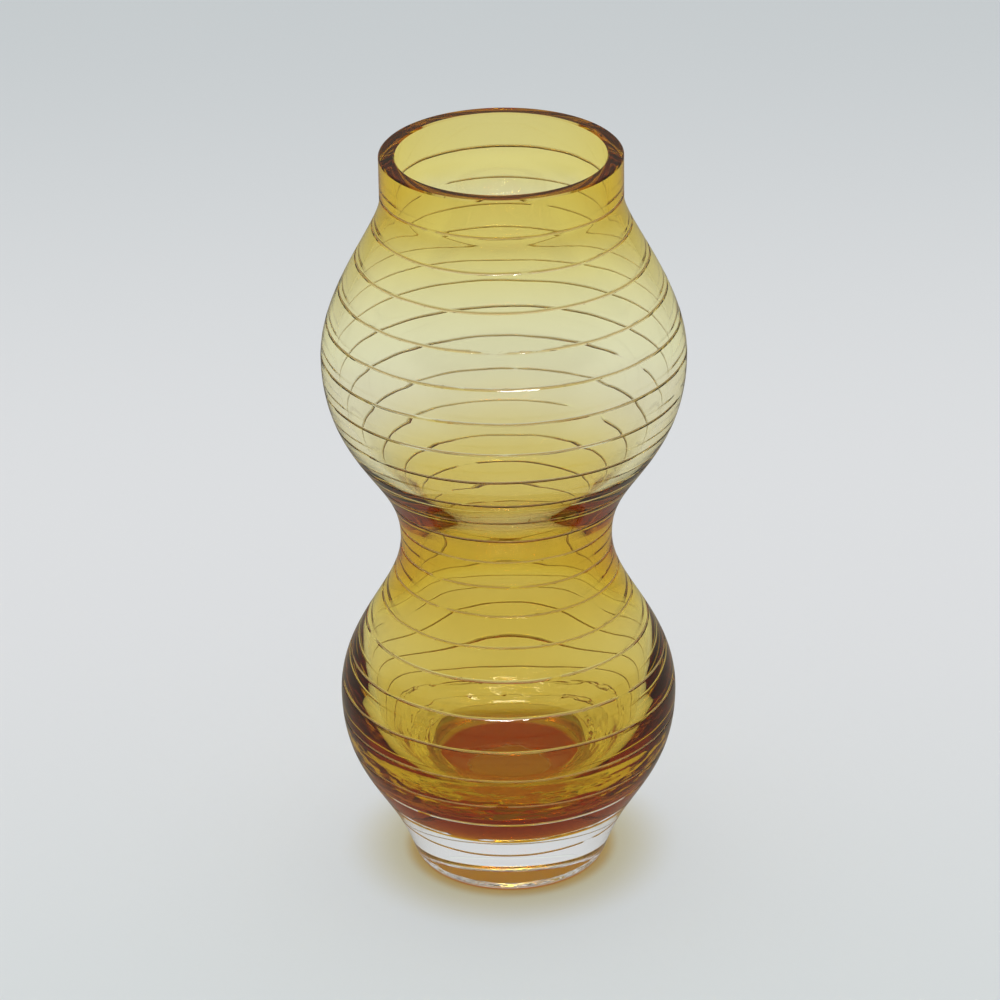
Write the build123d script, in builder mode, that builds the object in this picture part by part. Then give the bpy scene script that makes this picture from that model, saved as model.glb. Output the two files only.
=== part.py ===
from build123d import *
import os
from math import cos, radians, sin

# Gourd vase of blown glass in two layers: an amber inner layer with a thick
# bottom, and a clear outer layer that also makes the solid base. The rim is cut
# and ground flat, and level rings are cut round the outside with a mitre wheel.
# Millimetres, +Z up, origin at the centre of the ground base.

# Outside form: levels above the table and radii
height = 200.0
collar_drop = 12.0
collar_radius = 30.8
bulb_level = 145.0
bulb_radius = 46.8
waist_level = 93.5
waist_radius = 27.5
belly_level = 48.0
belly_radius = 44.2
foot_radius = 25.4
foot_flare = 16.5

# How far the outline runs on before it bends, above and below each level
collar_lead = 8.0
bulb_lead_up = 17.0
bulb_lead_down = 27.0
waist_lead_up = 20.0
waist_lead_down = 16.5
belly_lead_up = 18.0
belly_lead_down = 22.0
foot_lead = 24.5

# Clear glass outside the amber, measured level, and under it
collar_clear = 0.6
bulb_clear = 2.9
waist_clear = 1.1
belly_clear = 3.8
base_clear = 17.5

# Amber glass at each of the hollow's own levels, and under its floor; it is thin
# where the bulb was blown widest
collar_amber = 3.5
bulb_amber = 0.5
waist_amber = 4.6
belly_amber = 2.5
base_amber = 9.8

# The waist lies higher inside than outside, and so does the hollow's belly
inner_waist_rise = 2.0
hollow_belly_rise = 3.5

# How much longer the outline runs on inside than outside, in this order: below the
# collar, above and below the bulb, above and below the waist, above the belly
joint_longer = (2.5, -0.8, -2.5, -1.0, 5.5, 2.5)
hollow_longer = (0.0, 0.0, 0.0, -2.0, 8.1, 3.3)

# Bottom of the amber, a bowl, and of the hollow, a flat floor with a round corner
bowl_side_lead = 16.5
bowl_floor_lead = 31.0
floor_radius = 20.0
floor_side_lead = 14.0
floor_flat_lead = 7.3

# Ground edges
rim_arris = 0.4
foot_round = 1.5

# Cut rings: how many in each stretch, and where its last one is: above the waist,
# above and below the widest part of the belly, and above the table
ring_first_drop = 10.0
bulb_rings = 8
bulb_last_ring = 27.7
waist_rings = 7
waist_last_ring = 21.4
belly_rings = 4
belly_last_ring = 12.6
foot_rings = 3
foot_last_ring = 14.1
ring_width = 0.9
ring_depth = 0.3
ring_overcut = 0.2

collar_level = height - collar_drop
inner_waist_level = waist_level + inner_waist_rise
hollow_belly_level = belly_level + hollow_belly_rise
outside_leads = (
    collar_lead,
    bulb_lead_up,
    bulb_lead_down,
    waist_lead_up,
    waist_lead_down,
    belly_lead_up,
)


def side(radii, waist_at, belly_at, longer=(0, 0, 0, 0, 0, 0)):
    """Side of one glass surface, from the rim down to the widest part of the belly."""
    collar, bulb, waist, belly = radii
    leads = [lead + more for lead, more in zip(outside_leads, longer)]
    collar_down, bulb_up, bulb_down, waist_up, waist_down, belly_up = leads
    Line((collar, height), (collar, collar_level))
    Bezier(
        (collar, collar_level),
        (collar, collar_level - collar_down),
        (bulb, bulb_level + bulb_up),
        (bulb, bulb_level),
    )
    Bezier(
        (bulb, bulb_level),
        (bulb, bulb_level - bulb_down),
        (waist, waist_at + waist_up),
        (waist, waist_at),
    )
    Bezier(
        (waist, waist_at),
        (waist, waist_at - waist_down),
        (belly, belly_at + belly_up),
        (belly, belly_at),
    )


def outside():
    """Outer surface, down to the edge of the ground base."""
    side((collar_radius, bulb_radius, waist_radius, belly_radius), waist_level, belly_level)
    Bezier(
        (belly_radius, belly_level),
        (belly_radius, belly_level - belly_lead_down),
        (
            foot_radius + foot_lead * sin(radians(foot_flare)),
            foot_lead * cos(radians(foot_flare)),
        ),
        (foot_radius, 0),
    )


def joint_face():
    """Surface where the amber meets the clear glass, down to the axis."""
    belly = belly_radius - belly_clear
    radii = (
        collar_radius - collar_clear,
        bulb_radius - bulb_clear,
        waist_radius - waist_clear,
        belly,
    )
    side(radii, inner_waist_level, belly_level, joint_longer)
    Bezier(
        (belly, belly_level),
        (belly, belly_level - bowl_side_lead),
        (bowl_floor_lead, base_clear),
        (0, base_clear),
    )


def inside():
    """Surface of the hollow, down to the axis."""
    floor_level = base_clear + base_amber
    belly = belly_radius - belly_clear - belly_amber
    radii = (
        collar_radius - collar_clear - collar_amber,
        bulb_radius - bulb_clear - bulb_amber,
        waist_radius - waist_clear - waist_amber,
        belly,
    )
    side(radii, inner_waist_level, hollow_belly_level, hollow_longer)
    Bezier(
        (belly, hollow_belly_level),
        (belly, hollow_belly_level - floor_side_lead),
        (floor_radius + floor_flat_lead, floor_level),
        (floor_radius, floor_level),
    )
    Line((floor_radius, floor_level), (0, floor_level))


# Levels of the cut rings, evenly spaced down each stretch
ring_stretches = [
    (bulb_rings, waist_level + bulb_last_ring),
    (waist_rings, belly_level + waist_last_ring),
    (belly_rings, belly_level - belly_last_ring),
    (foot_rings, foot_last_ring),
]
ring_levels = [height - ring_first_drop]
for count, last in ring_stretches:
    first = ring_levels[-1]
    ring_levels += [first - (first - last) * n / count for n in range(1, count + 1)]

with BuildLine(Plane.XZ) as outer_line:
    outside()
outer_edges = outer_line.edges()


def ring_cut(level):
    """Corners of the wheel's V, square to the outside at one level."""
    for edge in outer_edges:
        low, high = sorted((edge.position_at(0).Z, edge.position_at(1).Z))
        if low <= level <= high:
            near, far = 0.0, 1.0
            if edge.position_at(0).Z > edge.position_at(1).Z:
                near, far = 1.0, 0.0
            for _ in range(40):
                middle = (near + far) / 2
                if edge.position_at(middle).Z < level:
                    near = middle
                else:
                    far = middle
            point = edge.position_at(middle)
            along = edge.tangent_at(middle)
            if along.Z < 0:
                along = along * -1
            out = Vector(along.Z, 0, -along.X)
            tip = point - out * ring_depth
            reach = out * (ring_depth + ring_overcut)
            half = along * (ring_width / 2 * (1 + ring_overcut / ring_depth))
            return [(p.X, p.Z) for p in (tip, tip + reach + half, tip + reach - half)]
    raise ValueError(f"no glass at ring level {level}")


# Amber inner layer: the hollow is its own surface, open at the rim
with BuildPart() as amber_lining:
    with BuildSketch(Plane.XZ):
        with BuildLine():
            joint_face()
            inside()
            Line((0, base_clear), (0, base_clear + base_amber))
            Line(
                (collar_radius - collar_clear, height),
                (collar_radius - collar_clear - collar_amber, height),
            )
        make_face()
    revolve(axis=Axis.Z)
    chamfer(
        amber_lining.edges().filter_by(GeomType.CIRCLE).group_by(Axis.Z)[-1].sort_by(SortBy.RADIUS)[0],
        rim_arris,
    )

# Clear outer layer with the solid base, the ground foot and the cut rings
with BuildPart() as clear_casing:
    with BuildSketch(Plane.XZ):
        with BuildLine():
            outside()
            joint_face()
            Line((foot_radius, 0), (0, 0))
            Line((0, 0), (0, base_clear))
            Line((collar_radius - collar_clear, height), (collar_radius, height))
        make_face()
    revolve(axis=Axis.Z)
    fillet(
        clear_casing.edges().filter_by(GeomType.CIRCLE).group_by(Axis.Z)[0],
        foot_round,
    )
    chamfer(
        clear_casing.edges().filter_by(GeomType.CIRCLE).group_by(Axis.Z)[-1].sort_by(SortBy.RADIUS)[-1],
        rim_arris,
    )
    with BuildSketch(Plane.XZ):
        for level in ring_levels:
            with BuildLine():
                Polyline(*ring_cut(level), close=True)
            make_face()
    revolve(axis=Axis.Z, mode=Mode.SUBTRACT)

os.makedirs("parts", exist_ok=True)
amber_lining.part.label = "amber_lining"
clear_casing.part.label = "clear_casing"
export_step(amber_lining.part, "parts/amber_lining.step")
export_step(clear_casing.part, "parts/clear_casing.step")

print("amber_lining", round(amber_lining.part.volume / 1000, 2), "cm3")
print("clear_casing", round(clear_casing.part.volume / 1000, 2), "cm3")
print("rings at", [round(level, 1) for level in ring_levels])
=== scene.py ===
from collections import namedtuple
from math import cos, pi, radians, sin

import bpy
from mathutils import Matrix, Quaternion, Vector
from mathutils.geometry import interpolate_bezier


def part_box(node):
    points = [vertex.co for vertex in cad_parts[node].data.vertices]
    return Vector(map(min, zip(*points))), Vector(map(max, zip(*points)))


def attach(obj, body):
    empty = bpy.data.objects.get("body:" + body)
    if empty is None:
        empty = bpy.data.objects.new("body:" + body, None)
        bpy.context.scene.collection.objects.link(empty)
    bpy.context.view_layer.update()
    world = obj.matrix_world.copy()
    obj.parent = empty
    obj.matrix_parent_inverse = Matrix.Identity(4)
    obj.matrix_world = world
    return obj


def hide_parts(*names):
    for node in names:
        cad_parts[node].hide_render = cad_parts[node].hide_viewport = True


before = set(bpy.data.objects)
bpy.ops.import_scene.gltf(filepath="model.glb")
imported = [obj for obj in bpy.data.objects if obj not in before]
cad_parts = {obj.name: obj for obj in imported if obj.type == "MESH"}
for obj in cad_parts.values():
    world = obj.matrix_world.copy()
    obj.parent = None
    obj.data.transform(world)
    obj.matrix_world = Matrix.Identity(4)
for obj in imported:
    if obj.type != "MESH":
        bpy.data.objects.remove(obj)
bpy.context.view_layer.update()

print("frame loaded:", sorted(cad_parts))


# Node trees written as expressions
class Wire:
    def __init__(self, tree, socket=None):
        self.tree = tree
        self.socket = socket

    def make(self, kind, settings=None, sockets=None, out=0):
        node = self.tree.nodes.new(kind)
        for name, value in (settings or {}).items():
            setattr(node, name, value)
        for key, value in (sockets or {}).items():
            if isinstance(value, Wire):
                self.tree.links.new(value.socket, node.inputs[key])
            else:
                node.inputs[key].default_value = value
        return Wire(self.tree, node.outputs[out] if len(node.outputs) else None)

    def maths(self, operation, *others):
        values = dict(enumerate((self, *others)))
        return self.make("ShaderNodeMath", {"operation": operation}, values)

    def __add__(self, other):
        return self.maths("ADD", other)

    __radd__ = __add__

    def __sub__(self, other):
        return self.maths("SUBTRACT", other)

    def __rsub__(self, other):
        return self.make("ShaderNodeMath", {"operation": "SUBTRACT"}, {0: other, 1: self})

    def __mul__(self, other):
        return self.maths("MULTIPLY", other)

    __rmul__ = __mul__

    def step(self, low, high):
        # smooth 0 to 1 between low and high
        settings = {"interpolation_type": "SMOOTHSTEP"}
        return self.make("ShaderNodeMapRange", settings, {0: self, 1: low, 2: high})

    def blend(self, first, second):
        # colour between first and second, by this value
        settings = {"data_type": "RGBA"}
        return self.make("ShaderNodeMix", settings, {0: self, 6: first, 7: second}, out=2)

    def mixShader(self, first, second):
        # shader between first and second, by this value
        return self.make("ShaderNodeMixShader", None, {0: self, 1: first, 2: second})

    def parts(self):
        # x, y and z of this vector
        axes = self.make("ShaderNodeSeparateXYZ", None, {0: self}).socket.node.outputs
        return [Wire(self.tree, axis) for axis in axes]

    def noise(self, scale, detail):
        # noise at this place
        sockets = {"Vector": self, "Scale": scale, "Detail": detail}
        return self.make("ShaderNodeTexNoise", None, sockets)


# The gourd: stations of its outline, shared by the three glass surfaces
gourd = {
    "height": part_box("clear_casing")[1].z,
    "collarDrop": 0.012,  # height of the straight collar
    "bulbLevel": 0.145,
    "waistLevel": 0.0935,
    "bellyLevel": 0.048,
    "collarLead": 0.008,
    "bulbLeads": (0.017, 0.027),  # above and below the level
    "waistLeads": (0.020, 0.0165),
    "bellyLead": 0.018,
    "rimArris": 0.0004,
    "rimClear": 1.5,  # arrises that the side's own rows stay below the rim
    "collarRows": 8,
    "rowGap": 0.0016,  # between rows of the mesh
    "fewestRows": 3,
    "roughRows": 32,  # for measuring a curve
    "segments": 160,
}
jointForm = dict(
    gourd,
    collarLead=0.0105,
    bulbLeads=(0.0162, 0.0245),
    waistLevel=0.0955,
    waistLeads=(0.019, 0.022),
    bellyLead=0.0205,
    rowGap=0.0026,
)
hollowForm = dict(
    gourd,
    waistLevel=0.0955,
    waistLeads=(0.018, 0.0246),
    bellyLevel=0.0515,
    bellyLead=0.0213,
)


def curveRows(corners, gap):
    # places (radius, level) along one curve of the outline
    points = [Vector((radius, 0, level)) for radius, level in corners]
    rough = interpolate_bezier(*points, gourd["roughRows"])
    length = sum((b - a).length for a, b in zip(rough, rough[1:]))
    count = max(gourd["fewestRows"], round(length / gap) + 1)
    return [(p.x, p.z) for p in interpolate_bezier(*points, count)]


def sideRows(radii, form):
    # rim to the widest part of the belly
    top, steps = form["height"], form["collarRows"]
    collar = top - form["collarDrop"]
    rows = [(radii[0], top + (collar - top) * n / steps) for n in range(steps)]
    levels = (collar, form["bulbLevel"], form["waistLevel"], form["bellyLevel"])
    leads = (
        (form["collarLead"], form["bulbLeads"][0]),
        (form["bulbLeads"][1], form["waistLeads"][0]),
        (form["waistLeads"][1], form["bellyLead"]),
    )
    for n, (leave, arrive) in enumerate(leads):
        corners = (
            (radii[n], levels[n]),
            (radii[n], levels[n] - leave),
            (radii[n + 1], levels[n + 1] + arrive),
            (radii[n + 1], levels[n + 1]),
        )
        rows += curveRows(corners, form["rowGap"])[:-1]
    return rows + [(radii[-1], levels[-1])]


# One row of a profile: its place, whether the joint face follows it, its share of a cut's
# depth, its number in the noise, the way out of the glass, and its share of the waves
Row = namedtuple(
    "Row",
    "radius level joint cut ring out wave",
    defaults=(0.0, 0.0, 0.0, (1.0, 0.0), 0.0),
)


def plain(places, joint=0.0):
    return [Row(radius, level, joint) for radius, level in places]


# The turning tree: a profile of rows becomes a closed round body, with rings cut by hand
handwork = {
    "ringStride": 3.7,  # from one ring to the next in the noise
    "ringStart": 0.5,  # rows numbered above this belong to a ring
    "swayNoise": (1.6, 3.0),  # scale and detail
    "liftNoise": (2.3, 2.0),
    "liftFade": 0.07,
    "biteNoise": (5.0, 2.0),
    "biteDepth": (0.75, 0.5),  # least share, and what the noise adds
    "waveNoise": (4.0, 1.0),
    "sharpEdge": radians(24),
    "weld": 2e-6,
}
treeInputs = {
    "Geometry": "NodeSocketGeometry",
    "Segments": "NodeSocketInt",
    "Rows": "NodeSocketInt",
    "Cut Depth": "NodeSocketFloat",
    "Wander": "NodeSocketFloat",
    "Lift": "NodeSocketFloat",
    "Wave": "NodeSocketFloat",
    "Seed": "NodeSocketFloat",
    "Material": "NodeSocketMaterial",
}


def turningTree():
    tree = bpy.data.node_groups.new("turned_glass", "GeometryNodeTree")
    for name, kind in treeInputs.items():
        tree.interface.new_socket(name, in_out="INPUT", socket_type=kind)
    tree.interface.new_socket("Geometry", in_out="OUTPUT", socket_type="NodeSocketGeometry")
    wire = Wire(tree)
    given = wire.make("NodeGroupInput").socket.node.outputs
    take = {socket.name: Wire(tree, socket) for socket in given if socket.name}
    sizes = {0: 1.0, 1: 1.0, 2: take["Segments"] + 1, 3: take["Rows"]}
    body = wire.make("GeometryNodeMeshGrid", None, sizes)
    across, along, _ = wire.make("GeometryNodeInputPosition").parts()
    angle = (across + 0.5) * (2 * pi)
    row = (along + 0.5) * (take["Rows"] - 1)
    nearRow, lowRow = row.maths("ROUND"), row.maths("FLOOR")
    cosine, sine = angle.maths("COSINE"), angle.maths("SINE")

    def fromRow(name, kind="FLOAT", index=nearRow):
        value = wire.make("GeometryNodeInputNamedAttribute", {"data_type": kind}, {0: name})
        sockets = {"Geometry": take["Geometry"], "Value": value, "Index": index}
        return wire.make("GeometryNodeSampleIndex", {"data_type": kind}, sockets)

    ring = fromRow("ring")
    depthInNoise = ring * handwork["ringStride"] + take["Seed"]
    around = wire.make("ShaderNodeCombineXYZ", None, {0: cosine, 1: sine, 2: depthInNoise})
    isRing = ring.maths("GREATER_THAN", handwork["ringStart"])
    sway = (around.noise(*handwork["swayNoise"]) - 0.5) * take["Wander"] * isRing
    liftEnd = take["Lift"] + handwork["liftFade"]
    lifted = around.noise(*handwork["liftNoise"]).step(take["Lift"], liftEnd)
    least, more = handwork["biteDepth"]
    bite = fromRow("cut") * (1 - lifted) * (least + more * around.noise(*handwork["biteNoise"]))
    wave = (around.noise(*handwork["waveNoise"]) - 0.5) * fromRow("wave") * take["Wave"]
    px, _, pz = fromRow("rowPlace", "FLOAT_VECTOR").parts()
    ox, _, oz = fromRow("rowOut", "FLOAT_VECTOR").parts()
    radius = px - ox * bite * take["Cut Depth"] - oz * sway + wave
    level = pz - oz * bite * take["Cut Depth"] + ox * sway
    place = {0: radius * cosine, 1: radius * sine, 2: level}
    spot = wire.make("ShaderNodeCombineXYZ", None, place)

    def then(kind, settings, sockets):
        return wire.make("GeometryNode" + kind, settings, dict(sockets, Geometry=body))

    joint = fromRow("joint", index=lowRow)
    onFaces = {"data_type": "FLOAT", "domain": "FACE"}
    onPoints = {"data_type": "FLOAT", "domain": "POINT"}
    body = then("StoreNamedAttribute", onFaces, {"Name": "joint", "Value": joint})
    body = then("StoreNamedAttribute", onPoints, {"Name": "ringCut", "Value": bite})
    body = then("SetPosition", None, {"Position": spot})
    body = then("MergeByDistance", None, {"Distance": handwork["weld"]})
    body = then("SetShadeSmooth", {"domain": "FACE"}, {"Shade Smooth": True})
    bend = wire.make("GeometryNodeInputMeshEdgeAngle")
    sharp = bend.maths("GREATER_THAN", handwork["sharpEdge"])
    creases = {"Selection": sharp, "Shade Smooth": False}
    body = then("SetShadeSmooth", {"domain": "EDGE"}, creases)
    body = then("RealizeInstances", None, {})
    body = then("SetMaterial", None, {"Material": take["Material"]})
    wire.make("NodeGroupOutput", None, {0: body})
    return tree


turning = turningTree()


def turn(name, rows, material, hand):
    # rows run from one pole to the other, with the glass on their left
    places = [(row.radius, 0, row.level) for row in rows]
    profile = bpy.data.meshes.new(name + "_profile")
    profile.from_pydata(places, [(n, n + 1) for n in range(len(rows) - 1)], [])
    ways = [(row.out[0], 0, row.out[1]) for row in rows]
    for label, vectors in (("rowPlace", places), ("rowOut", ways)):
        stored = profile.attributes.new(label, "FLOAT_VECTOR", "POINT")
        for item, vector in zip(stored.data, vectors):
            item.vector = vector
    for label in ("joint", "cut", "ring", "wave"):
        stored = profile.attributes.new(label, "FLOAT", "POINT")
        for item, row in zip(stored.data, rows):
            item.value = getattr(row, label)
    shape = bpy.data.objects.new(name + "_profile", profile)
    bpy.context.scene.collection.objects.link(shape)
    modifier = shape.modifiers.new("turned", "NODES")
    modifier.node_group = turning
    values = dict(hand, Segments=gourd["segments"], Rows=len(rows), Material=material)
    for socket in turning.interface.items_tree:
        if socket.in_out == "INPUT" and socket.name in values:
            modifier[socket.identifier] = values[socket.name]
    graph = bpy.context.evaluated_depsgraph_get()
    mesh = bpy.data.meshes.new_from_object(shape.evaluated_get(graph))
    mesh.name = name
    bpy.data.objects.remove(shape)
    bpy.data.meshes.remove(profile)
    piece = bpy.data.objects.new(name, mesh)
    bpy.context.scene.collection.objects.link(piece)
    print(name, "turned:", len(rows), "rows,", len(mesh.polygons), "faces")
    return piece


# Glass: air faces refract, and the face where the two glasses meet lets light straight through
glassIor = 1.5
bumpStrength = 0.25
noTint = (1.0, 1.0, 1.0, 1.0)


def newMaterial(name):
    material = bpy.data.materials.new(name)
    material.use_nodes = True
    material.node_tree.nodes.clear()
    return material, Wire(material.node_tree)


def attribute(wire, name):
    return wire.make("ShaderNodeAttribute", {"attribute_name": name}, out="Fac")


def airFace(wire, color, roughness, height, distance):
    bump = {"Strength": bumpStrength, "Distance": distance, "Height": height}
    sockets = {
        "Base Color": color,
        "Roughness": roughness,
        "IOR": glassIor,
        "Transmission Weight": 1.0,
        "Normal": wire.make("ShaderNodeBump", None, bump),
    }
    return wire.make("ShaderNodeBsdfPrincipled", None, sockets)


# Amber lining
lining = {
    "jointRadii": (0.0302, 0.0439, 0.0264, 0.0404),  # at collar, bulb, waist and belly
    "hollowRadii": (0.0267, 0.0434, 0.0218, 0.0379),
    "bowlLeads": (0.0165, 0.031),
    "bowlLevel": 0.0175,
    "floorRadius": 0.020,
    "floorLeads": (0.014, 0.0073),
    "floorLevel": 0.0273,
    "floorRows": 12,
    "cornerGap": 0.6,  # row gap in the floor's corner, as a share of the side's
    "waveTop": 0.045,  # the hollow's waves start here and are full a little lower
    "waveFade": 0.012,
    "waveRadius": 0.030,  # inside this they grow weaker
    "waveStride": 0.04,  # from one row to the next in the noise
    "hand": {"Cut Depth": 0.0, "Wander": 0.0, "Lift": 1.0, "Wave": 0.0006, "Seed": 2.0},
    "tint": (0.93, 0.822, 0.13, 1.0),
    "density": 400.0,
    "streakTint": (0.97, 0.96, 0.94, 1.0),
    "streakNoise": (120.0, 2.0),  # scale and detail
    "bumpDistance": 0.0004,
    "bumpNoise": (55.0, 1.0),
    "rippleNoise": (1.0, 1.5),
    "rippleScale": (110.0, 110.0, 420.0),
    "rippleLow": (0.0274, 0.0279),  # the ripples fade in and out between these levels
    "rippleHigh": (0.033, 0.040),
    "rippleHeight": 30.0,
}


def jointRows(standOff):
    # rim to the bottom of the amber, the face that the two glasses share
    radii = [radius + standOff for radius in lining["jointRadii"]]
    belly, bowl = radii[-1], lining["bowlLevel"] - standOff
    sideLead, bowlLead = lining["bowlLeads"]
    corners = (
        (belly, jointForm["bellyLevel"]),
        (belly, jointForm["bellyLevel"] - sideLead),
        (bowlLead, bowl),
        (0, bowl),
    )
    return sideRows(radii, jointForm) + curveRows(corners, jointForm["rowGap"])[1:]


def hollowRows():
    # rim to the middle of the floor
    belly, widest = lining["hollowRadii"][-1], hollowForm["bellyLevel"]
    flat, floorLevel, steps = lining["floorRadius"], lining["floorLevel"], lining["floorRows"]
    sideLead, floorLead = lining["floorLeads"]
    corners = (
        (belly, widest),
        (belly, widest - sideLead),
        (flat + floorLead, floorLevel),
        (flat, floorLevel),
    )
    rows = sideRows(lining["hollowRadii"], hollowForm)
    rows += curveRows(corners, hollowForm["rowGap"] * lining["cornerGap"])[1:]
    return rows + [(flat * (1 - n / steps), floorLevel) for n in range(1, steps + 1)]


def lowWave(radius, level):
    # waves grow towards the corner of the hollow's floor
    low = min(max((lining["waveTop"] - level) / lining["waveFade"], 0.0), 1.0)
    return low * min(radius / lining["waveRadius"], 1.0)


def liningRows():
    top, arris, mouth = gourd["height"], gourd["rimArris"], lining["hollowRadii"][0]
    rows = plain(reversed(jointRows(0.0)), 1.0)
    rows[-1] = rows[-1]._replace(joint=0.0)  # the ground rim follows
    rows += plain([(mouth + arris, top), (mouth, top - arris)])
    inside = [p for p in hollowRows() if p[1] < top - arris * gourd["rimClear"]]
    for n, (radius, level) in enumerate(inside):
        stride = lining["waveStride"] * n
        rows.append(Row(radius, level, ring=stride, wave=lowWave(radius, level)))
    return rows


def amberGlass():
    material, wire = newMaterial("amber_glass")
    where = wire.make("ShaderNodeTexCoord", out="Object")
    level = where.parts()[2]
    corner = level.step(*lining["rippleLow"]) * (1 - level.step(*lining["rippleHigh"]))
    scale = {0: where, 1: lining["rippleScale"]}
    flat = wire.make("ShaderNodeVectorMath", {"operation": "MULTIPLY"}, scale)
    ripple = flat.noise(*lining["rippleNoise"]) * corner * lining["rippleHeight"]
    height = where.noise(*lining["bumpNoise"]) + ripple
    color = where.noise(*lining["streakNoise"]).blend(noTint, lining["streakTint"])
    glass = airFace(wire, color, 0.0, height, lining["bumpDistance"])
    clear = wire.make("ShaderNodeBsdfTransparent")
    tint = {"Color": lining["tint"], "Density": lining["density"]}
    sockets = {
        "Surface": attribute(wire, "joint").mixShader(glass, clear),
        "Volume": wire.make("ShaderNodeVolumeAbsorption", None, tint),
    }
    wire.make("ShaderNodeOutputMaterial", None, sockets)
    return material


liningPiece = turn("amber_lining_glass", liningRows(), amberGlass(), lining["hand"])
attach(liningPiece, "root")
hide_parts("amber_lining")


# Clear casing with its solid base and cut rings
casing = {
    "radii": (0.0308, 0.0468, 0.0275, 0.0442),  # at collar, bulb, waist and belly
    "bellyLead": 0.022,
    "footRadius": 0.0254,
    "footLead": 0.0245,
    "footFlare": radians(16.5),
    "footRound": 0.0015,
    "roundRows": 6,
    "baseRows": 10,
    "standOff": 0.00003,  # keeps the two joint faces apart
    "ringFirst": 0.190,
    "ringStretches": ((8, 0.1212), (7, 0.0694), (4, 0.0354), (3, 0.0141)),  # count, last level
    "ringWidth": 0.0009,
    "ringClear": 1.1,  # ring widths to the next row of the side
    # across the ring in ring widths, and share of the depth; the outer rows keep its shading narrow
    "ringSection": (
        (-0.62, 0.0),
        (-0.5, 0.0),
        (-0.25, 0.5),
        (0.0, 1.0),
        (0.25, 0.5),
        (0.5, 0.0),
        (0.62, 0.0),
    ),
    "hand": {"Cut Depth": 0.0003, "Wander": 0.0009, "Lift": 0.61, "Wave": 0.0, "Seed": 5.0},
    "cutReach": (0.3, 0.7),  # shares of the depth between which the glass turns matt
    # painted shade: this tint darkens the cuts beyond what their roughness does, standing in for
    # light their matt faces scatter away
    "cutShadeTint": (0.66, 0.55, 0.28, 1.0),
    "cutShade": (0.7, 0.6),  # least share of that tint, and what the grain adds
    "cutRoughness": 0.5,
    "grainNoise": (2500.0, 2.0),  # scale and detail
    "grainHeight": 0.05,
    "frostShare": 0.45,  # of a cut's light that its ground face scatters
    "frostDark": (0.80, 0.54, 0.18, 1.0),
    "frostPale": (0.95, 0.74, 0.34, 1.0),
    "frostRoughness": 0.9,
    "groundEdge": 0.0128,  # of the spot ground where the iron was cracked off
    "groundFade": 0.0006,
    "groundRagged": 0.006,
    "groundNoise": (220.0, 3.0),
    "groundRoughness": 0.6,
    "groundTouch": 0.85,  # share of that spot that touches the table
    "underReach": (0.0004, 0.0001),  # levels between which the base begins
    "baseWave": 6.0,
    "bumpDistance": 0.0003,
    "bumpNoise": (60.0, 1.0),
}


def ringLevels():
    levels = [casing["ringFirst"]]
    for count, last in casing["ringStretches"]:
        first = levels[-1]
        levels += [first - (first - last) * n / count for n in range(1, count + 1)]
    return levels


def offRing(row, centre, down):
    # how far a row lies from a ring, measured down the side
    radius, level = centre
    return abs(Vector((row.radius - radius, row.level - level)).dot(down))


def outsideRows():
    # rim to foot, with rows of their own at each cut ring
    v = casing
    belly, widest, foot = v["radii"][-1], gourd["bellyLevel"], v["footRadius"]
    corners = (
        (belly, widest),
        (belly, widest - v["bellyLead"]),
        (foot + v["footLead"] * sin(v["footFlare"]), v["footLead"] * cos(v["footFlare"])),
        (foot, 0),
    )
    places = sideRows(v["radii"], gourd) + curveRows(corners, gourd["rowGap"])[1:]
    rows = plain(places)
    nearest = v["ringWidth"] * v["ringClear"]
    for number, level in enumerate(ringLevels(), 1):
        n = next(n for n, place in enumerate(places) if place[1] <= level)
        (r0, z0), (r1, z1) = places[n - 1], places[n]
        centre = (r0 + (r1 - r0) * ((z0 - level) / (z0 - z1)), level)
        down = Vector((r1 - r0, z1 - z0)).normalized()
        rows = [row for row in rows if row.ring or offRing(row, centre, down) > nearest]
        for offset, bite in v["ringSection"]:
            spot = Vector(centre) + down * offset * v["ringWidth"]
            rows.append(Row(*spot, cut=bite, ring=float(number), out=(-down.y, down.x)))
    return sorted(rows, key=lambda row: -row.level)


def footRows(sideEnd):
    # ground base from its centre, and its rounded edge up to the side
    flat, steps = casing["footRadius"] - casing["footRound"], casing["baseRows"]
    places = [(flat * n / steps, 0.0) for n in range(steps + 1)]
    start, bend = Vector((flat, 0.0)), Vector((casing["footRadius"], 0.0))
    for n in range(1, casing["roundRows"]):
        t = n / casing["roundRows"]
        places.append(tuple(start.lerp(bend, t).lerp(bend.lerp(sideEnd, t), t)))
    return plain(places)


def casingRows():
    top, arris, collar = gourd["height"], gourd["rimArris"], casing["radii"][0]
    side = [row for row in outsideRows() if row.level > casing["footRound"]]
    rows = footRows(Vector((side[-1].radius, side[-1].level)))
    rows += [row for row in reversed(side) if row.level < top - arris * gourd["rimClear"]]
    rows += plain([(collar, top - arris), (collar - arris, top)])
    return rows + plain(jointRows(casing["standOff"]), 1.0)


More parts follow.
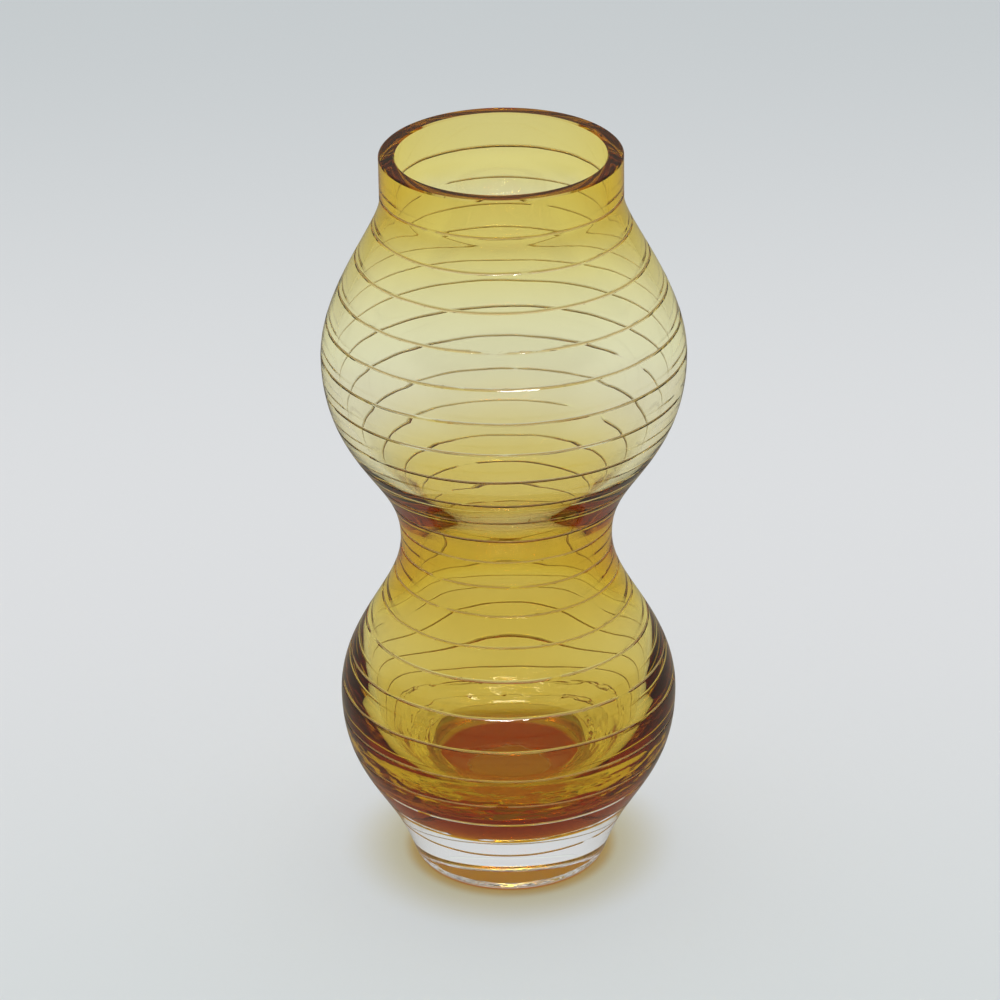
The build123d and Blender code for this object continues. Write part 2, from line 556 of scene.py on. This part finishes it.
def clearGlass():
    material, wire = newMaterial("clear_glass")
    where = wire.make("ShaderNodeTexCoord", out="Object")
    side, depth, level = where.parts()
    cut = attribute(wire, "ringCut").step(*casing["cutReach"])
    grain = where.noise(*casing["grainNoise"])
    ragged = where.noise(*casing["groundNoise"])
    under = level.step(*casing["underReach"])
    fromAxis = (side * side + depth * depth).maths("SQRT")
    edge = fromAxis + (ragged - 0.5) * casing["groundRagged"]
    ground = edge.step(casing["groundEdge"], casing["groundEdge"] - casing["groundFade"]) * under
    height = where.noise(*casing["bumpNoise"]) + cut * grain * casing["grainHeight"]
    height = height + ragged * under * casing["baseWave"]
    least, more = casing["cutShade"]
    # the cuts' colour: painted shade from the cut tint, varied by the grain
    color = (cut * (least + more * grain)).blend(noTint, casing["cutShadeTint"])
    roughness = (cut * casing["cutRoughness"]).maths("MAXIMUM", ground * casing["groundRoughness"])
    glass = airFace(wire, color, roughness, height, casing["bumpDistance"])
    powder = {
        "Base Color": grain.blend(casing["frostDark"], casing["frostPale"]),
        "Roughness": casing["frostRoughness"],
    }
    frost = wire.make("ShaderNodeBsdfPrincipled", None, powder)
    frosted = (cut * casing["frostShare"]).mixShader(glass, frost)
    clear = wire.make("ShaderNodeBsdfTransparent")
    passing = attribute(wire, "joint").maths("MAXIMUM", ground * casing["groundTouch"])
    surface = passing.mixShader(frosted, clear)
    wire.make("ShaderNodeOutputMaterial", None, {"Surface": surface})
    return material


casingPiece = turn("clear_casing_glass", casingRows(), clearGlass(), casing["hand"])
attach(casingPiece, "root")
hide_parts("clear_casing")


# Stage: what glass mirrors, and the rays that show tones instead of lit paper
mirrorTone = (0.27, 0.25, 0.20, 1.0)
# painted shade: the far floor and the world seen straight on, darker as if the lamps' light fell
# off there
farShadeTone = (0.53, 0.575, 0.59, 1.0)


def rays(wire, name):
    return wire.make("ShaderNodeLightPath", out="Is " + name + " Ray")


def seen(wire):
    glossy = rays(wire, "Glossy").maths("MAXIMUM", rays(wire, "Transmission"))
    return rays(wire, "Camera").maths("MAXIMUM", glossy)


def mirrored(wire):
    # rays that glass or floor reflected last
    return rays(wire, "Glossy") * (1 - rays(wire, "Transmission"))


# Floor
floorLook = {
    "half": 4.0,
    "drop": -0.0003,  # air under the ground base
    "paper": (0.80, 0.81, 0.82, 1.0),
    "paperRoughness": 0.8,
    "paperGloss": 0.1,
    "paperShare": 0.35,  # of the floor's brightness that lamp and shadow make
    "frontTone": (0.68, 0.73, 0.73, 1.0),
    "middleTone": (0.76, 0.775, 0.79, 1.0),
    "frontReach": (-0.15, 0.15),
    "farReach": (0.18, 0.68),
    "behindLightTone": (0.86, 0.93, 0.86, 1.0),  # painted light: a brighter floor behind the vase, seen only through glass
    "behindReach": (0.22, 0.34),
    "beyondTone": (0.72, 0.76, 0.74, 1.0),
    "beyondReach": (0.42, 0.56),
    "leftShadeTone": (0.07, 0.055, 0.045, 1.0),  # painted shade beside the frame, seen only through glass
    "rightShadeTone": (0.30, 0.22, 0.14, 1.0),
    "besideReach": (0.10, 0.13),
    "besideDepth": (0.03, 0.06),
    "besideFront": (-0.22, -0.14),
    "besideEnd": (0.30, 0.42),
    "shadowGlow": (0.52, 0.49, 0.32, 1.0),  # painted shadow round the foot, warmed by painted light that came through the amber
    "glowReach": (0.027, 0.047),
    # painted shadow and amber light, deeper at the foot's edge
    "nearShadowGlow": (0.40, 0.26, 0.05, 1.0),
    "nearReach": (0.0256, 0.0296),
    # painted shade under the base, reddened like the amber, and painted amber light under its
    # ground spot
    "underBaseShade": (0.40, 0.07, 0.0, 1.0),
    "underReach": (0.0235, 0.0255),
    "underSpotGlow": (0.44, 0.20, 0.01, 1.0),
    "spotReach": (0.0118, 0.0138),
}


def paleFloor():
    material, wire = newMaterial("pale_floor")
    where = wire.make("ShaderNodeTexCoord", out="Object")
    away = wire.make("ShaderNodeVectorMath", {"operation": "LENGTH"}, {0: where}, out="Value")
    side, depth, _ = where.parts()

    def reach(value, name):
        return value.step(*floorLook[name])

    direct = rays(wire, "Camera")
    through = 1 - direct
    tone = reach(depth, "frontReach").blend(floorLook["frontTone"], floorLook["middleTone"])
    # painted light behind the vase, seen only through glass
    tone = (reach(depth, "behindReach") * through).blend(tone, floorLook["behindLightTone"])
    tone = (reach(depth, "beyondReach") * through).blend(tone, floorLook["beyondTone"])
    # painted shade on the far floor
    tone = (reach(depth, "farReach") * direct).blend(tone, farShadeTone)
    # painted shade beside the vase, seen only through glass
    besideShade = through * (1 - reach(depth, "besideDepth")) * reach(depth, "besideFront")
    besideShade = besideShade * (1 - reach(away, "besideEnd"))
    tone = (reach(0 - side, "besideReach") * besideShade).blend(tone, floorLook["leftShadeTone"])
    tone = (reach(side, "besideReach") * besideShade).blend(tone, floorLook["rightShadeTone"])
    # painted shadow and amber light round the foot
    tone = reach(away, "glowReach").blend(floorLook["shadowGlow"], tone)
    tone = reach(away, "nearReach").blend(floorLook["nearShadowGlow"], tone)
    # under the base: painted shade, with painted amber light under the ground spot
    underShadeAndGlow = reach(away, "spotReach").blend(floorLook["underSpotGlow"], floorLook["underBaseShade"])
    outside = reach(away, "underReach")
    mirror = mirrored(wire)
    tone = mirror.blend(outside.blend(underShadeAndGlow, tone), mirrorTone)
    sheet = {
        # the lit paper also carries the painted shade and light under the base
        "Base Color": outside.blend(underShadeAndGlow, floorLook["paper"]),
        "Roughness": floorLook["paperRoughness"],
        "Specular IOR Level": floorLook["paperGloss"],
    }
    paper = wire.make("ShaderNodeBsdfPrincipled", None, sheet)
    backdrop = wire.make("ShaderNodeEmission", None, {"Color": tone, "Strength": 1.0})
    share = seen(wire) * (1 - floorLook["paperShare"]) + mirror * floorLook["paperShare"]
    surface = share.mixShader(paper, backdrop)
    wire.make("ShaderNodeOutputMaterial", None, {"Surface": surface})
    return material


half, drop = floorLook["half"], floorLook["drop"]
corners = [(-half, -half, drop), (half, -half, drop), (half, half, drop), (-half, half, drop)]
floorMesh = bpy.data.meshes.new("floor")
floorMesh.from_pydata(corners, [], [(0, 1, 2, 3)])
floorMesh.materials.append(paleFloor())
floor = bpy.data.objects.new("floor", floorMesh)
bpy.context.scene.collection.objects.link(floor)

# Room: an even dome lights the paper, and glass sees walls, ceiling and a dim front
room = {
    "dome": (0.62, 0.63, 0.64, 1.0),
    "backWall": (0.72, 0.74, 0.75, 1.0),
    "ceiling": (0.8, 0.81, 0.82, 1.0),
    "ceilingReach": (0.55, 0.85),
    "dim": (0.15, 0.095, 0.035, 1.0),
    "dimReach": (-0.1, -0.5),  # towards the front, above the table's edge
    "dimRise": (0.12, 0.24),
    "band": (0.08, 0.07, 0.05, 1.0),  # a dim band behind
    "bandReach": (0.7, 0.85),
    "bandLow": (0.28, 0.40),
    "bandHigh": (0.52, 0.66),
}


def roomWorld():
    world = bpy.data.worlds.new("room")
    world.use_nodes = True
    world.node_tree.nodes.clear()
    wire = Wire(world.node_tree)
    _, toBack, upward = wire.make("ShaderNodeTexCoord", out="Generated").parts()
    dim = toBack.step(*room["dimReach"]) * upward.step(*room["dimRise"])
    walls = dim.blend(room["backWall"], room["dim"])
    band = toBack.step(*room["bandReach"]) * upward.step(*room["bandLow"])
    band = band * (1 - upward.step(*room["bandHigh"]))
    walls = band.blend(walls, room["band"])
    walls = upward.step(*room["ceilingReach"]).blend(walls, room["ceiling"])
    walls = mirrored(wire).blend(walls, mirrorTone)

    def background(color):
        return wire.make("ShaderNodeBackground", None, {"Color": color, "Strength": 1.0})

    lit = seen(wire).mixShader(background(room["dome"]), background(walls))
    # straight-on views of the world show the painted far shade
    surface = rays(wire, "Camera").mixShader(lit, background(farShadeTone))
    wire.make("ShaderNodeOutputWorld", None, {"Surface": surface})
    return world


bpy.context.scene.world = roomWorld()

# Lamps: soft light from above, and a skylight that only the glass's gloss shows
lamps = {
    "overhead": {"size": (1.4, 0.9), "place": (0.0, 0.35, 1.45), "power": 5.0},
    "skylight": {"size": (0.5, 0.36), "place": (0.03, -0.16, 1.45), "power": 18.0},
}
vaseMiddle = Vector((0, 0, 0.1))


def hangLamp(name):
    values = lamps[name]
    light = bpy.data.lights.new(name, "AREA")
    light.shape = "RECTANGLE"
    light.size, light.size_y = values["size"]
    light.energy = values["power"]
    lamp = bpy.data.objects.new(name, light)
    lamp.location = values["place"]
    lamp.rotation_euler = (vaseMiddle - lamp.location).to_track_quat("-Z", "Y").to_euler()
    bpy.context.scene.collection.objects.link(lamp)
    return lamp


hangLamp("overhead")
skylight = hangLamp("skylight")
skylight.visible_camera = False
skylight.visible_diffuse = False

# Camera
shot = {
    "elevation": radians(26.84),
    "distance": 1.195,
    "lens": 165.6,
    "sensor": 36.0,
    "shift": (-0.00604, 0.0099),
    "roll": radians(-0.82),
    "nearest": 0.05,
}
cameraData = bpy.data.cameras.new("camera")
cameraData.lens = shot["lens"]
cameraData.sensor_width = shot["sensor"]
cameraData.shift_x, cameraData.shift_y = shot["shift"]
cameraData.clip_start = shot["nearest"]
camera = bpy.data.objects.new("camera", cameraData)
toCamera = Vector((0, -cos(shot["elevation"]), sin(shot["elevation"])))
camera.location = vaseMiddle + toCamera * shot["distance"]
upright = (-toCamera).to_track_quat("-Z", "Y")
camera.rotation_euler = (upright @ Quaternion((0, 0, 1), shot["roll"])).to_euler()
bpy.context.scene.collection.objects.link(camera)
bpy.context.scene.camera = camera
bpy.context.scene.view_settings.view_transform = "Standard"

# Light crosses many faces of the glass
bounces = {
    "max_bounces": 32,
    "transmission_bounces": 28,
    "glossy_bounces": 12,
    "transparent_max_bounces": 64,
}
for name, count in bounces.items():
    setattr(bpy.context.scene.cycles, name, count)
print("stage set")
